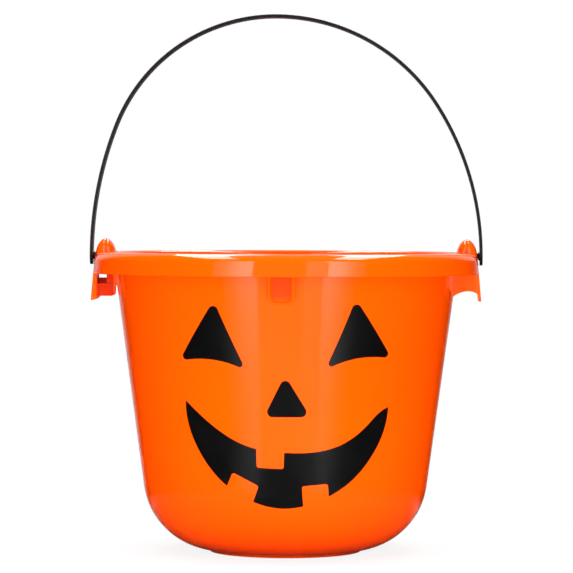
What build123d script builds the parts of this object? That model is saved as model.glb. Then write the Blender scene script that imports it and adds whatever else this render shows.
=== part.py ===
from build123d import *
import os
from math import atan, cos, pi, radians, sin, sqrt, tan

# Jack-o'-lantern candy pail: a moulded pail with two hollow ears on its rim, a flat strap handle
# whose studs snap into the ears, and a face printed on the front of the wall.
# Millimetres, +Z up, origin on the table under the pail's axis, the face towards -Y.

# Wall and base of the pail
PAIL_HEIGHT = 168.0
WALL = 1.5
WALL_FOOT_RADIUS = 74.5         # outside of the wall, carried down to the table
BASE_CORNER_RADIUS = 41.3
FOOT_RADIUS = 42.5
FOOT_WIDTH = 3.0
FOOT_HEIGHT = 1.1
FOOT_CHAMFER = 0.4
GATE_RADIUS = 5.0
GATE_DEPTH = 0.5
CUT_OVERRUN = 3.0

# Rim
RIM_RADIUS = 108.4              # outside of the skirt at its lower edge
RIM_OVERHANG = 11.0             # past the outside of the wall, carried up to the top of the rim
RIM_CORNER_RADIUS = 5.0
RIM_INNER_CHAMFER = 1.4
SKIRT_HEIGHT = 12.0
SKIRT_DRAFT = 5.0               # degrees, spreading downwards

# Ears, one on each side of the rim
EAR_WIDTH = 14.4
EAR_RISE = 7.5                  # top of the dome above the rim
EAR_SINK = 4.0                  # widest level of the dome below the rim
EAR_SETBACK = 0.1
PIVOT_DROP = 1.9                # stud hole below the top of the rim
TAB_DROP = 27.2                 # tip of the tab below the top of the rim
TAB_CORNER_RADIUS = 2.5
TAB_ROOT_RADIUS = 2.0
WEB_THICKNESS = 1.4

# Arched web of the right ear, heights below the top of the rim
ARCH_WALL_DROP = 25.0
ARCH_CROWN_DROP = 21.4
ARCH_TAB_DROP = 24.4
ARCH_CROWN_SHARE = 0.6          # place of the arch's crown between wall and tab

# Windowed web of the left ear, heights below the top of the rim
WINDOW_TOP_DROP = 11.5
WINDOW_FOOT_DROP = 17.7
WINDOW_WIDTH = 5.4
WINDOW_INSET = 1.0              # from the inside of the skirt
BEAD_DROP = 19.0
BEAD_HEIGHT = 1.2
BEAD_PROUD = 0.5
PANEL_TOP_DROP = 14.7           # back web, behind the lower half of the window
PANEL_FOOT_DROP = 24.8
PANEL_RECESS = 1.2
PANEL_CORNER_RADIUS = 2.0
PANEL_WALL_GAP = 1.4
TAB_RIB_DEPTH = 3.5             # flush rib beside the tab, in front of the panel
TAB_RIB_LIFT = 0.3              # foot of the rib above the tip of the tab
TAB_RIB_TIP_RADIUS = 2.6

# Stacking lugs under the rim, one at the front and one at the back
LUG_WIDTH = 14.4
LUG_DROP = 27.2
LUG_RIB = 1.5
LUG_CORNER_RADIUS = 5.0
LUG_TOP_DEPTH = 8.0             # proud of the wall at the top of the rim
LUG_FOOT_DEPTH = 1.2            # proud of the wall at the foot of the lug

# Handle strap
HANDLE_LIFT = 25.15             # crown of the strap above a half circle on its span
HANDLE_TILT = 1.8               # degrees back from upright, where the handle stands
STRAP_WIDTH = 10.4
STRAP_THICKNESS = 1.6
STRAP_EDGE_CHAMFER = 0.4
CROWN_LEAN = -6.2               # the springy strap stands a little to the left
CROWN_RADIUS_SHARE = 0.93       # crown arc, of the reach from the crown to each end

# Snap studs on the strap's ends
STUD_SHOULDER_LENGTH = 0.8
STUD_SHOULDER_RADIUS = 2.6
STUD_SHOULDER_TIP_RADIUS = 2.2
STUD_NECK_RADIUS = 1.75
STUD_CLEARANCE = 0.07           # round the neck, in the ear's hole
STUD_END_PLAY = 0.4             # between the shoulder and the ear's face
STUD_HEAD_PLAY = 0.9            # between the head and the inside of the ear's curved wall
STUD_HEAD_RADIUS = 2.5
STUD_HEAD_LENGTH = 2.4
STUD_HEAD_LAND_SHARE = 0.33     # straight part of the head, before it tapers
STUD_TIP_RADIUS = 1.3

# Printed face
INK = 0.15
INK_CLEARANCE = 0.03            # between the film and the wall
PRINT_TURN = 1.5                # degrees, the print's register against the ears
EYE_WIDTH = 36.3                # to the sharp corners, before they are rounded
EYE_HEIGHT = 38.3
EYE_SPACING = 78.3              # between the middles of the eyes
EYE_FOOT_DROP = 62.3            # below the top of the rim
EYE_TOP_RADIUS = 2.6
EYE_INNER_RADIUS = 1.7
EYE_OUTER_RADIUS = 2.2
LEFT_EYE_DROP = 1.0             # the left eye sits a little lower and leans outwards
LEFT_EYE_TURN = 2.0
NOSE_WIDTH = 25.1
NOSE_HEIGHT = 22.7
NOSE_FOOT_DROP = 87.5
NOSE_CORNER_RADIUS = 2.9
NOSE_SHIFT = 0.9
MOUTH_WIDTH = 110.0
MOUTH_HEIGHT = 57.8
MOUTH_FOOT_DROP = 137.3
MOUTH_SHIFT = 0.7
TOOTH_CORNER_RADIUS = 1.4

# Right eye: inner corner, top and outer corner in shares of its box, then the bow of each side
EYE_CORNER_SHARES = ((0.0, 0.0), (0.452, 1.0), (1.0, 0.15))
EYE_BOW_SHARES = ((0.236, 0.5), (0.748, 0.565), (0.5, 0.166))
# Nose: foot left, top and foot right
NOSE_CORNER_SHARES = ((0.0, 0.0), (0.446, 1.0), (1.0, 0.0))
# Mouth: tips, upper lip and lower lip from left to right
MOUTH_TIP_SHARES = ((-0.498, 1.0), (0.5, 0.94))
UPPER_LIP_SHARES = (
    (-0.386, 0.804), (-0.198, 0.588), (-0.007, 0.526), (0.253, 0.585), (0.391, 0.765), (0.466, 0.905),
)
LOWER_LIP_SHARES = (
    (-0.487, 0.796), (-0.444, 0.573), (-0.336, 0.279), (-0.161, 0.059), (-0.025, 0.0),
    (0.206, 0.11), (0.312, 0.242), (0.412, 0.46), (0.472, 0.682),
)
# Teeth: root, two corners of the biting edge, root, in shares of the mouth's box
TOOTH_SHARES = (
    ((-0.15, 0.6), (-0.147, 0.385), (-0.015, 0.373), (-0.011, 0.6)),
    ((-0.304, 0.152), (-0.265, 0.336), (-0.137, 0.211), (-0.171, 0.018)),
    ((0.083, -0.016), (0.074, 0.211), (0.203, 0.232), (0.208, 0.072)),
)

# Levels and radii that several pieces share
WALL_TOP_RADIUS = RIM_RADIUS - RIM_OVERHANG
SKIRT_FOOT = PAIL_HEIGHT - SKIRT_HEIGHT
PIVOT_HEIGHT = PAIL_HEIGHT - PIVOT_DROP
EAR_LEVEL = PAIL_HEIGHT - EAR_SINK
TAB_FOOT = PAIL_HEIGHT - TAB_DROP
WALL_TAPER = atan((WALL_TOP_RADIUS - WALL_FOOT_RADIUS) / PAIL_HEIGHT)
CHAMFER_ON_ROUND_SHARE = 2 - sqrt(2)    # leg of a chamfer that touches the round it stands for
SIDES = (-1, 1)


def wall_radius(height):
    """Outside of the pail's wall."""
    return WALL_FOOT_RADIUS + height * tan(WALL_TAPER)


def wall_middle(height):
    """Half way through the pail's wall, where what joins it ends."""
    return wall_radius(height) - WALL / 2


def skirt_radius(height):
    """Outside of the rim's skirt and of the ear tabs below it."""
    return RIM_RADIUS - (height - SKIRT_FOOT) * tan(radians(SKIRT_DRAFT))


def skirt_middle(height):
    """Half way through the skirt or a tab, where what joins it ends."""
    return skirt_radius(height) - WALL / 2


EAR_OUTER = skirt_radius(EAR_LEVEL) - EAR_SETBACK
EAR_INNER = wall_radius(EAR_LEVEL) - WALL + EAR_SETBACK
EAR_MIDDLE = (EAR_OUTER + EAR_INNER) / 2
EAR_DEPTH = EAR_OUTER - EAR_INNER
EAR_DOME = EAR_RISE + EAR_SINK
PIVOT_ON_DOME_SHARE = sqrt(1 - ((PIVOT_HEIGHT - EAR_LEVEL) / EAR_DOME) ** 2)
EAR_FACE = EAR_MIDDLE + EAR_DEPTH / 2 * PIVOT_ON_DOME_SHARE
STRAP_FACE = EAR_FACE + STUD_END_PLAY + STUD_SHOULDER_LENGTH
HALF_SPAN = STRAP_FACE + STRAP_THICKNESS / 2
HANDLE_RISE = HALF_SPAN + HANDLE_LIFT
BASE_FLAT_RADIUS = (
    wall_radius(FOOT_HEIGHT + BASE_CORNER_RADIUS) - BASE_CORNER_RADIUS / cos(WALL_TAPER)
)


def corner_near(sketch, point):
    """The corner of a sketch that lies at a point."""
    return sketch.vertices().sort_by_distance(point)[0]


def bowl_section(inset, top):
    """Half section of the bowl's outside, moved in by an inset."""
    floor = FOOT_HEIGHT + inset
    sideways = inset / cos(WALL_TAPER)
    corner = (wall_radius(floor) - sideways, floor)
    outline = Polyline((0, floor), corner, (wall_radius(top) - sideways, top), (0, top), close=True)
    face = make_face(outline)
    return fillet(corner_near(face, corner), BASE_CORNER_RADIUS - inset)


def rim_section():
    """Half section of the rim, filled from the bowl out to a skirt as deep as the ear tabs."""
    corner = (skirt_radius(PAIL_HEIGHT), PAIL_HEIGHT)
    outline = Polyline(
        (wall_middle(TAB_FOOT), TAB_FOOT),
        (skirt_radius(TAB_FOOT), TAB_FOOT),
        corner,
        (wall_middle(PAIL_HEIGHT), PAIL_HEIGHT),
        close=True,
    )
    face = make_face(outline)
    return fillet(corner_near(face, corner), RIM_CORNER_RADIUS)


def channel_section():
    """Half section of the open channel between wall and skirt."""
    roof = PAIL_HEIGHT - WALL
    foot = TAB_FOOT - CUT_OVERRUN
    corner = (skirt_radius(roof) - WALL, roof)
    outline = Polyline(
        (wall_radius(foot), foot),
        (skirt_radius(foot) - WALL, foot),
        corner,
        (wall_radius(roof), roof),
        close=True,
    )
    face = make_face(outline)
    inner_radius = RIM_CORNER_RADIUS - WALL
    return chamfer(corner_near(face, corner), inner_radius * CHAMFER_ON_ROUND_SHARE)


def skirt_trim():
    """What is cut off the deep skirt to leave its lower edge and one tab under each ear."""
    top = SKIRT_FOOT + WALL
    foot = TAB_FOOT - CUT_OVERRUN
    inside = (wall_radius(SKIRT_FOOT) + skirt_radius(SKIRT_FOOT) - WALL) / 2
    outside = skirt_radius(foot) + CUT_OVERRUN
    ring = revolve(Plane.XZ * make_face(Polyline(
        (inside, foot), (outside, foot), (outside, top), (inside, top), close=True,
    )), Axis.Z)
    band = Pos(0, SKIRT_FOOT) * Rectangle(2 * outside, 2 * WALL, align=(Align.CENTER, Align.MIN))
    tab_height = top - TAB_FOOT
    tab = Pos(0, TAB_FOOT) * Rectangle(EAR_WIDTH, tab_height, align=(Align.CENTER, Align.MIN))
    tab = fillet(tab.vertices().group_by(Axis.Y)[0], TAB_CORNER_RADIUS)
    keep = band + tab
    roots = [corner_near(keep, (side * EAR_WIDTH / 2, SKIRT_FOOT)) for side in SIDES]
    keep = fillet(roots, TAB_ROOT_RADIUS)
    return ring - extrude(Plane.YZ * keep, outside, both=True)


def shell():
    """The turned part of the pail with its tabs: bowl, rim and skirt in one wall."""
    section = bowl_section(0, PAIL_HEIGHT) + rim_section() - channel_section()
    section -= bowl_section(WALL, PAIL_HEIGHT + CUT_OVERRUN)
    inner_edge = (wall_radius(PAIL_HEIGHT) - WALL / cos(WALL_TAPER), PAIL_HEIGHT)
    section = chamfer(corner_near(section, inner_edge), RIM_INNER_CHAMFER)
    return revolve(Plane.XZ * section, Axis.Z) - skirt_trim()


def base_middle(radius):
    """Half way through the base at a radius, up into its rounded corner."""
    out = max(radius - BASE_FLAT_RADIUS, 0)
    return FOOT_HEIGHT + BASE_CORNER_RADIUS - sqrt(BASE_CORNER_RADIUS ** 2 - out ** 2) + WALL / 2


def foot_ring():
    """The ring that the pail stands on, sunk half way into the base."""
    inside = FOOT_RADIUS - FOOT_WIDTH
    outline = Polyline(
        (inside, 0),
        (FOOT_RADIUS, 0),
        (FOOT_RADIUS, base_middle(FOOT_RADIUS)),
        (inside, base_middle(inside)),
        close=True,
    )
    section = make_face(outline)
    feet = section.vertices().group_by(Axis.Y)[0]
    return revolve(Plane.XZ * chamfer(feet, FOOT_CHAMFER), Axis.Z)


def gate_dimple():
    """The sunk round under the base where the plastic came in."""
    return Pos(0, 0, FOOT_HEIGHT) * Cylinder(GATE_RADIUS, 2 * GATE_DEPTH)


def ear_dome(inset):
    """The upper half of an ear's dome, moved in by an inset."""
    size = (EAR_DEPTH / 2 - inset, EAR_WIDTH / 2 - inset, EAR_DOME - inset)
    return Pos(EAR_MIDDLE, 0, EAR_LEVEL) * scale(Sphere(1), by=size)


def ear_outside():
    """The dome down to its widest level."""
    keep = Box(EAR_DEPTH, EAR_WIDTH, EAR_DOME, align=(Align.CENTER, Align.CENTER, Align.MIN))
    return ear_dome(0) & (Pos(EAR_MIDDLE, 0, EAR_LEVEL) * keep)


def stud_hole():
    """The hole in the ear's outer wall."""
    length = 2 * (EAR_OUTER - EAR_MIDDLE)
    hole = Rot(0, 90, 0) * Cylinder(STUD_NECK_RADIUS + STUD_CLEARANCE, length)
    return Pos(EAR_OUTER, 0, PIVOT_HEIGHT) * hole


def web_plate(face, thickness, recess, side):
    """A web's face, in the X-Z plane, made into a plate at one side of an ear."""
    middle = side * (EAR_WIDTH / 2 - recess - thickness / 2)
    return Pos(0, middle, 0) * extrude(Plane.XZ * face, thickness / 2, both=True)


def web_pair(face, thickness, recess):
    """A web's face made into one plate at each side of an ear."""
    return [web_plate(face, thickness, recess, side) for side in SIDES]


def web_outline(wall_end, tab_end):
    """The wall, roof and skirt sides of a web, from its lower end at the wall to its end at the tab."""
    roof = PAIL_HEIGHT - WALL / 2
    shoulder = roof - RIM_CORNER_RADIUS
    return Polyline(
        wall_end,
        (wall_middle(roof), roof),
        (skirt_radius(roof) - RIM_CORNER_RADIUS, roof),
        (skirt_middle(shoulder), shoulder),
        tab_end,
    )


def arched_webs():
    """Plates between wall and tab with an arched lower edge."""
    wall_foot = PAIL_HEIGHT - ARCH_WALL_DROP
    crown = PAIL_HEIGHT - ARCH_CROWN_DROP
    tab_foot = PAIL_HEIGHT - ARCH_TAB_DROP
    wall_end = (wall_middle(wall_foot), wall_foot)
    tab_end = (skirt_middle(tab_foot), tab_foot)
    middle = (wall_end[0] + ARCH_CROWN_SHARE * (tab_end[0] - wall_end[0]), crown)
    wall_arc = TangentArc(middle, wall_end, tangent=(-1, 0))
    tab_arc = TangentArc(middle, tab_end, tangent=(1, 0))
    return web_pair(make_face([web_outline(wall_end, tab_end), wall_arc, tab_arc]), WEB_THICKNESS, 0)


def set_back_panel(bead, top):
    """The panel below a bead, up to a level behind the plate."""
    foot = PAIL_HEIGHT - PANEL_FOOT_DROP
    corner = (wall_radius(bead) + PANEL_WALL_GAP, foot)
    face = make_face(Polyline(
        corner,
        (skirt_middle(foot), foot),
        (skirt_middle(top), top),
        (corner[0], top),
        close=True,
    ))
    return fillet(corner_near(face, corner), PANEL_CORNER_RADIUS)


def windowed_webs():
    """Plates between wall and tab with a window, a bead below it and a set-back panel."""
    bead = PAIL_HEIGHT - BEAD_DROP
    wall_end = (wall_middle(bead), bead)
    tab_end = (skirt_middle(bead), bead)
    plate = make_face([web_outline(wall_end, tab_end), Line(tab_end, wall_end)])
    window_foot = PAIL_HEIGHT - WINDOW_FOOT_DROP
    window_height = WINDOW_FOOT_DROP - WINDOW_TOP_DROP
    window_outer = skirt_radius(SKIRT_FOOT) - WALL - WINDOW_INSET
    window = Rectangle(WINDOW_WIDTH, window_height, align=(Align.MAX, Align.MIN))
    plate -= Pos(window_outer, window_foot) * window
    bead_top = bead + BEAD_HEIGHT
    bead_face = make_face(Polyline(
        wall_end, tab_end, (skirt_middle(bead_top), bead_top), (wall_middle(bead_top), bead_top), close=True,
    ))
    rib_foot = TAB_FOOT + TAB_RIB_LIFT
    rib_corner = (skirt_middle(rib_foot) - TAB_RIB_DEPTH, rib_foot)
    rib = make_face(Polyline(
        (skirt_middle(rib_foot), rib_foot),
        (skirt_middle(bead_top), bead_top),
        (skirt_middle(bead_top) - TAB_RIB_DEPTH, bead_top),
        rib_corner,
        close=True,
    ))
    rib = fillet(corner_near(rib, rib_corner), TAB_RIB_TIP_RADIUS)
    plates = web_pair(plate, WEB_THICKNESS, 0)
    plates += web_pair(bead_face, WEB_THICKNESS + BEAD_PROUD, -BEAD_PROUD)
    plates += web_pair(rib, WEB_THICKNESS, 0)
    # The left ear is turned half round, so its front web is at +Y here.
    for side, top in ((1, bead_top), (-1, PAIL_HEIGHT - PANEL_TOP_DROP)):
        plates.append(web_plate(set_back_panel(bead, top), WEB_THICKNESS, PANEL_RECESS, side))
    return plates


def stacking_lug():
    """A U-shaped rib under the front of the rim, deep at the top and fading into the wall."""
    roof = PAIL_HEIGHT - WALL / 2
    foot = PAIL_HEIGHT - LUG_DROP
    height = roof - foot
    blank = Rectangle(LUG_WIDTH, height, align=(Align.CENTER, Align.MIN))
    blank = fillet(blank.vertices().group_by(Axis.Y)[0], LUG_CORNER_RADIUS)
    pocket = Rectangle(LUG_WIDTH - 2 * LUG_RIB, height, align=(Align.CENTER, Align.MIN))
    pocket = fillet(pocket.vertices().group_by(Axis.Y)[0], LUG_CORNER_RADIUS - LUG_RIB)
    outline = Pos(0, foot) * (blank - Pos(0, LUG_RIB) * pocket)
    rib = extrude(Plane.XZ * outline, RIM_RADIUS)
    wedge = make_face(Polyline(
        (-wall_middle(foot), foot),
        (-wall_radius(foot) - LUG_FOOT_DEPTH, foot),
        (-wall_radius(roof) - LUG_TOP_DEPTH, roof),
        (-wall_middle(roof), roof),
        close=True,
    ))
    return rib & extrude(Plane.YZ * wedge, LUG_WIDTH, both=True)


def pail_body():
    """The whole pail moulding."""
    ears = [Rot(0, 0, turn) * ear_outside() for turn in (0, 180)]
    hollows = [Rot(0, 0, turn) * ear_dome(WALL) for turn in (0, 180)]
    holes = [Rot(0, 0, turn) * stud_hole() for turn in (0, 180)]
    lugs = [Rot(0, 0, turn) * stacking_lug() for turn in (0, 180)]
    left_webs = [Rot(0, 0, 180) * plate for plate in windowed_webs()]
    body = shell() + foot_ring() + ears - hollows
    body += arched_webs() + left_webs + lugs
    return body - holes - gate_dimple()


def strap_half(side):
    """Middle line of the strap from its crown to one end, as two tangent arcs."""
    crown = Vector(CROWN_LEAN, PIVOT_HEIGHT + HANDLE_RISE)
    reach = HALF_SPAN - side * CROWN_LEAN
    crown_radius = CROWN_RADIUS_SHARE * reach
    rise = HANDLE_RISE - crown_radius
    run = reach - crown_radius
    sweep_angle = pi / 2 - 2 * atan(run / rise)
    side_radius = crown_radius + rise / cos(sweep_angle)
    crown_centre = crown - Vector(0, crown_radius)
    side_centre = Vector(side * (HALF_SPAN - side_radius), PIVOT_HEIGHT)

    def on_arc(centre, radius, angle):
        return centre + Vector(side * radius * sin(angle), radius * cos(angle))

    joint = on_arc(crown_centre, crown_radius, sweep_angle)
    crown_arc = ThreePointArc(crown, on_arc(crown_centre, crown_radius, sweep_angle / 2), joint)
    half_way = (sweep_angle + pi / 2) / 2
    end = on_arc(side_centre, side_radius, pi / 2)
    side_arc = ThreePointArc(joint, on_arc(side_centre, side_radius, half_way), end)
    return [crown_arc, side_arc]


def stud():
    """A snap stud along +X's ear: shoulder, neck and head, running inwards from the strap."""
    shoulder_end = STRAP_FACE - STUD_SHOULDER_LENGTH
    head_start = EAR_FACE - WALL - STUD_HEAD_PLAY
    head_land = head_start - STUD_HEAD_LAND_SHARE * STUD_HEAD_LENGTH
    head_end = head_start - STUD_HEAD_LENGTH
    outline = Polyline(
        (HALF_SPAN, 0),
        (HALF_SPAN, STUD_SHOULDER_RADIUS),
        (STRAP_FACE, STUD_SHOULDER_RADIUS),
        (shoulder_end, STUD_SHOULDER_TIP_RADIUS),
        (shoulder_end, STUD_NECK_RADIUS),
        (head_start, STUD_NECK_RADIUS),
        (head_start, STUD_HEAD_RADIUS),
        (head_land, STUD_HEAD_RADIUS),
        (head_end, STUD_TIP_RADIUS),
        (head_end, 0),
        close=True,
    )
    return Pos(0, 0, PIVOT_HEIGHT) * revolve(Plane.XZ * make_face(outline), Axis.X)


def strap_pad():
    """The round end of the strap at +X."""
    pad = Rot(0, 90, 0) * Cylinder(STRAP_WIDTH / 2, STRAP_THICKNESS)
    pad = chamfer(pad.edges().filter_by(GeomType.CIRCLE), STRAP_EDGE_CHAMFER)
    return Pos(HALF_SPAN, 0, PIVOT_HEIGHT) * pad


def handle_strap():
    """The strap handle with its pads and snap studs."""
    section = Rectangle(STRAP_THICKNESS, STRAP_WIDTH)
    section = chamfer(section.vertices(), STRAP_EDGE_CHAMFER)
    handle = Part()
    for side, turn in zip(SIDES, (180, 0)):
        path = (Plane.XZ * Curve(children=strap_half(side))).wires()[0]
        crown = Plane(path @ 0, x_dir=(0, 0, 1), z_dir=path % 0)
        handle += sweep(crown * section, path=path)
        handle += Rot(0, 0, turn) * (strap_pad() + stud())
    axis = Pos(0, 0, PIVOT_HEIGHT)
    return axis * Rot(-HANDLE_TILT, 0, 0) * axis.inverse() * handle


def ink(outline):
    """A print of an outline, drawn in front view and laid on the wall."""
    film = bowl_section(-INK_CLEARANCE - INK, PAIL_HEIGHT) - bowl_section(-INK_CLEARANCE, PAIL_HEIGHT)
    skin = revolve(Plane.XZ * film, Axis.Z)
    column = extrude(Plane.XZ * outline, RIM_RADIUS)
    return Rot(0, 0, PRINT_TURN) * (skin & column)


def box_point(shares, width, height, start, foot):
    """A point of an outline from its shares of a box."""
    return (start + shares[0] * width, foot + shares[1] * height)


def eye_outline():
    """The right eye: a leaning triangle with a bowed foot."""
    foot = PAIL_HEIGHT - EYE_FOOT_DROP
    inner = (EYE_SPACING - EYE_WIDTH) / 2
    corners = [box_point(shares, EYE_WIDTH, EYE_HEIGHT, inner, foot) for shares in EYE_CORNER_SHARES]
    bows = [box_point(shares, EYE_WIDTH, EYE_HEIGHT, inner, foot) for shares in EYE_BOW_SHARES]
    arcs = [ThreePointArc(corners[i], bows[i], corners[(i + 1) % 3]) for i in range(3)]
    face = make_face(arcs)
    for corner, radius in zip(corners, (EYE_INNER_RADIUS, EYE_TOP_RADIUS, EYE_OUTER_RADIUS)):
        face = fillet(corner_near(face, corner), radius)
    return face


def left_eye_outline():
    """The right eye mirrored, then turned about the middle of its foot."""
    foot = Pos(-EYE_SPACING / 2, PAIL_HEIGHT - EYE_FOOT_DROP)
    turned = foot * Rot(0, 0, LEFT_EYE_TURN) * foot.inverse()
    return Pos(0, -LEFT_EYE_DROP) * turned * mirror(eye_outline(), Plane.YZ)


def nose_outline():
    """A rounded triangle."""
    foot = PAIL_HEIGHT - NOSE_FOOT_DROP
    left = NOSE_SHIFT - NOSE_WIDTH / 2
    corners = [box_point(shares, NOSE_WIDTH, NOSE_HEIGHT, left, foot) for shares in NOSE_CORNER_SHARES]
    face = make_face(Polyline(*corners, close=True))
    return fillet(face.vertices(), NOSE_CORNER_RADIUS)


def mouth_outline():
    """A wide grin between two lips, with one upper and two lower teeth left clear."""
    foot = PAIL_HEIGHT - MOUTH_FOOT_DROP

    def place(table):
        return [box_point(shares, MOUTH_WIDTH, MOUTH_HEIGHT, MOUTH_SHIFT, foot) for shares in table]

    left_tip, right_tip = place(MOUTH_TIP_SHARES)
    upper_lip = Spline(left_tip, *place(UPPER_LIP_SHARES), right_tip)
    lower_lip = Spline(left_tip, *place(LOWER_LIP_SHARES), right_tip)
    mouth = make_face([upper_lip, lower_lip])
    for table in TOOTH_SHARES:
        corners = place(table)
        tooth = make_face(Polyline(*corners, close=True))
        biting = [corner_near(tooth, corner) for corner in corners[1:3]]
        mouth -= fillet(biting, TOOTH_CORNER_RADIUS)
    return mouth


PIECES = {
    "pail_body": pail_body(),
    "handle_strap": handle_strap(),
    "left_eye_print": ink(left_eye_outline()),
    "right_eye_print": ink(eye_outline()),
    "nose_print": ink(nose_outline()),
    "mouth_print": ink(mouth_outline()),
}

os.makedirs("parts", exist_ok=True)
for name, solid in PIECES.items():
    export_step(solid, os.path.join("parts", f"{name}.step"))
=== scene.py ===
from math import acos, atan, atan2, cos, hypot, pi, radians, sin, sqrt, tan

import bmesh
import bpy
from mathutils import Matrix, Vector


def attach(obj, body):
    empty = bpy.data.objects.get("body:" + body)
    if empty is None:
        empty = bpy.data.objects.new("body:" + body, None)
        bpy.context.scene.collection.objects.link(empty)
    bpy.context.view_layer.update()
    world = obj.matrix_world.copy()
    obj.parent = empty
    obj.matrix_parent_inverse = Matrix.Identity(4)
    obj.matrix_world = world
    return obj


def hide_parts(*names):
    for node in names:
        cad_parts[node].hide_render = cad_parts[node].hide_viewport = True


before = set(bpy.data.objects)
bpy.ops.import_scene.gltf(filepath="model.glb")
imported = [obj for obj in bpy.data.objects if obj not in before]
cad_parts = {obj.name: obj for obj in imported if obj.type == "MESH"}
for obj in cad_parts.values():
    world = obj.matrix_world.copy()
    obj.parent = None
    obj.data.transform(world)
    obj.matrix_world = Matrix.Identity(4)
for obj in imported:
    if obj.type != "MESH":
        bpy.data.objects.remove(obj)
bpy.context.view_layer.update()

bl_info = {
    "name": "Candy Pail",
    "version": (1, 0, 0),
    "blender": (4, 5, 0),
    "location": "3D View > Sidebar > Candy Pail",
    "description": "Moulds the candy pail, its strap handle and its printed face over the frame",
    "category": "Add Mesh",
}

PRINTS = ("left_eye_print", "right_eye_print", "nose_print", "mouth_print")
AXIS = (0, 0, 0)       # where the pail's axis meets the table
SEAM = 2e-6            # points nearer than this are one point
SLIVER = 1.5e-5        # faces thinner than this are taken out after a join
START = 0.01           # size of the plane that a drawn line starts from
PLATE_STEPS = 2        # rows of faces round the edge of a plate
EDGE_STEPS = 3         # rows of faces round the edge of a lug, the strap or a stud
SMOOTH_UNDER = radians(34)


# Properties that a user may change

def length(name, description, default):
    """A length in metres."""
    return bpy.props.FloatProperty(
        name=name, description=description, default=default, precision=5,
        subtype="DISTANCE", unit="LENGTH",
    )


def turn(name, description, default):
    """An angle, given in degrees."""
    return bpy.props.FloatProperty(
        name=name, description=description, default=radians(default),
        subtype="ANGLE", unit="ROTATION",
    )


def share(name, description, default):
    """A part of a whole."""
    return bpy.props.FloatProperty(
        name=name, description=description, default=default, min=0.0, max=1.0, subtype="FACTOR",
    )


def level(name, description, default):
    """A plain number of zero or more."""
    return bpy.props.FloatProperty(name=name, description=description, default=default, min=0.0)


def colour(name, description, default):
    """A linear colour."""
    return bpy.props.FloatVectorProperty(
        name=name, description=description, default=default, size=3, min=0.0, max=1.0,
        subtype="COLOR",
    )


def group(kind, name, description):
    """A group of settings."""
    return bpy.props.PointerProperty(type=kind, name=name, description=description)


class PailSizes(bpy.types.PropertyGroup):
    """The turned part of the moulding: base, wall, rim and skirt."""

    height: length("Height", "Table to the top of the rim", 0.168)
    wall: length("Wall", "Thickness of the moulding", 0.0015)
    foot_of_wall: length("Foot of wall", "Outside radius of the wall, carried to the table", 0.0745)
    base_corner: length("Base corner", "Outside radius of the large round into the base", 0.0413)
    foot_radius: length("Foot ring", "Outside radius of the ring that the pail stands on", 0.0425)
    foot_width: length("Foot ring width", "Width of the foot ring", 0.003)
    foot_height: length("Foot ring height", "How far the base stands off the table", 0.0011)
    foot_edge: length("Foot ring edge", "Round on the edges of the foot ring", 0.0004)
    gate_radius: length("Gate", "Radius of the sunk round where the plastic came in", 0.005)
    gate_depth: length("Gate depth", "Depth of the sunk round", 0.0005)
    rim_radius: length("Rim", "Outside radius of the skirt at its lower edge", 0.1084)
    rim_overhang: length("Rim overhang", "Skirt past the wall carried up to the rim", 0.011)
    rim_corner: length("Rim corner", "Outside round of the rim", 0.005)
    rim_inner_edge: length("Rim inner edge", "Round on the edge of the mouth", 0.0024)
    channel_corner: length("Channel corner", "Round from the wall to the rim's underside", 0.0008)
    skirt_height: length("Skirt height", "Top of the rim to the lower edge of the skirt", 0.012)
    skirt_draft: turn("Skirt draft", "Spread of the skirt downwards", 5.0)
    skirt_edge: length("Skirt edge", "Round on the lower edge of the skirt and the tabs", 0.0004)


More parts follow.
